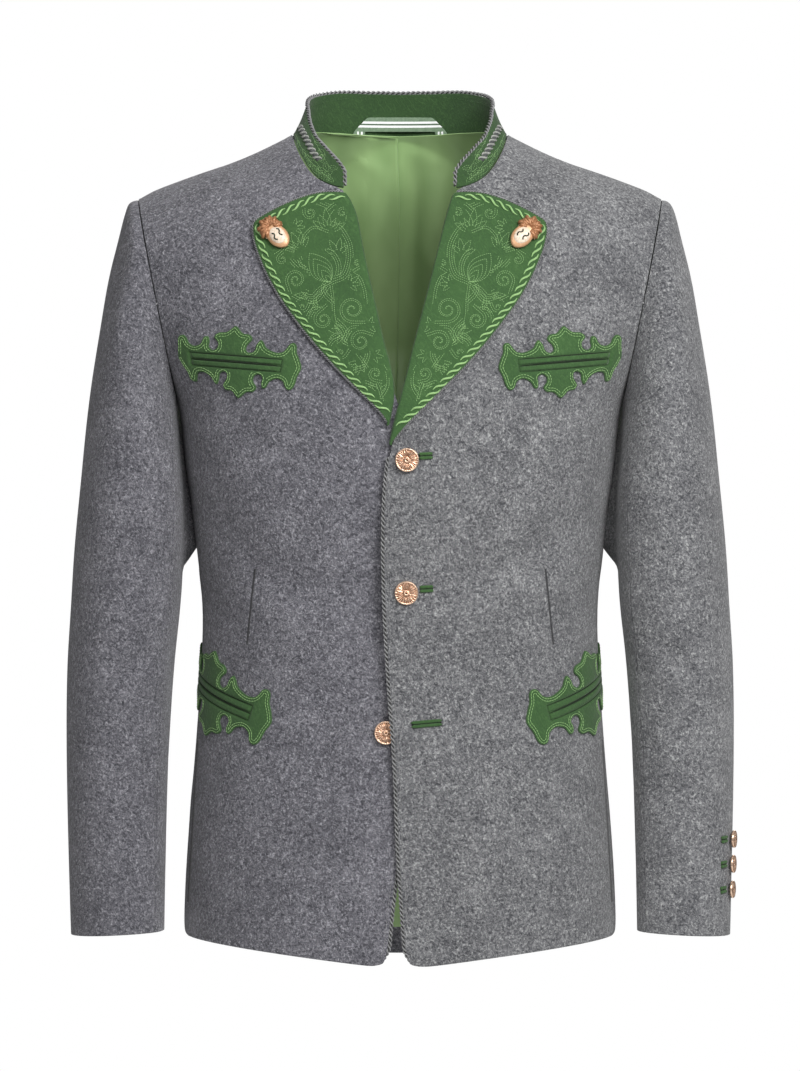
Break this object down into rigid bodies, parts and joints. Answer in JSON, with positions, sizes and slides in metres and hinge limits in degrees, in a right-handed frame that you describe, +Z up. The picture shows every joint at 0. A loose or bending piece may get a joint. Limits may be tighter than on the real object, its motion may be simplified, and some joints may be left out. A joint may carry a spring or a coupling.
{
  "type": "tyrolean loden jacket",
  "caption": "Hip-length grey loden jacket with green stand collar, embroidered lapels, curled pocket patches, edge cords and metal buttons, hollow as worn.",
  "frame": {"origin": "mount of the wearer's shoulders: on the centre plane, at the height where the shoulder seams meet the neck less 27 mm, midway front to back at the armholes", "axes": "+X to the wearer's left, -Y to the front, +Z up along the body"},
  "size_m": [0.5901, 0.2678, 0.7819],
  "materials": {
    "loden_grey": "matte mottled grey loden",
    "felt_green": "matte green felt",
    "satin_green": "soft sheen green lining",
    "cord_grey": "twisted grey cord",
    "rose_metal": "rose gold coloured metal",
    "ribbon_striped": "woven ribbon with pale stripes"
  },
  "bodies": {
    "root": {"back": "loden_grey", "buttonhole_1": "felt_green", "buttonhole_2": "felt_green", "buttonhole_3": "felt_green", "chest_patch_left": "felt_green", "chest_patch_right": "felt_green", "chest_welt_lower_left": "felt_green", "chest_welt_lower_right": "felt_green", "chest_welt_upper_left": "felt_green", "chest_welt_upper_right": "felt_green", "collar": "felt_green", "collar_cord": "cord_grey", "cuff_button_1_left": "rose_metal", "cuff_button_1_right": "rose_metal", "cuff_button_2_left": "rose_metal", "cuff_button_2_right": "rose_metal", "cuff_button_3_left": "rose_metal", "cuff_button_3_right": "rose_metal", "cuff_buttonhole_1_left": "felt_green", "cuff_buttonhole_1_right": "felt_green", "cuff_buttonhole_2_left": "felt_green", "cuff_buttonhole_2_right": "felt_green", "cuff_buttonhole_3_left": "felt_green", "cuff_buttonhole_3_right": "felt_green", "front_button_1": "rose_metal", "front_button_2": "rose_metal", "front_button_3": "rose_metal", "front_cord_left": "cord_grey", "front_cord_right": "cord_grey", "front_left": "loden_grey", "front_right": "loden_grey", "hanger_loop": "ribbon_striped", "lapel_cord_left": "cord_grey", "lapel_cord_right": "cord_grey", "lapel_facing_left": "felt_green", "lapel_facing_right": "felt_green", "lapel_left": "loden_grey", "lapel_right": "loden_grey", "lapel_stud_left": "rose_metal", "lapel_stud_right": "rose_metal", "lining_back": "satin_green", "side_patch_left": "felt_green", "side_patch_right": "felt_green", "side_welt_lower_left": "felt_green", "side_welt_lower_right": "felt_green", "side_welt_upper_left": "felt_green", "side_welt_upper_right": "felt_green", "top_sleeve_left": "loden_grey", "top_sleeve_right": "loden_grey", "under_sleeve_left": "loden_grey", "under_sleeve_right": "loden_grey"}
  },
  "joints": []
}
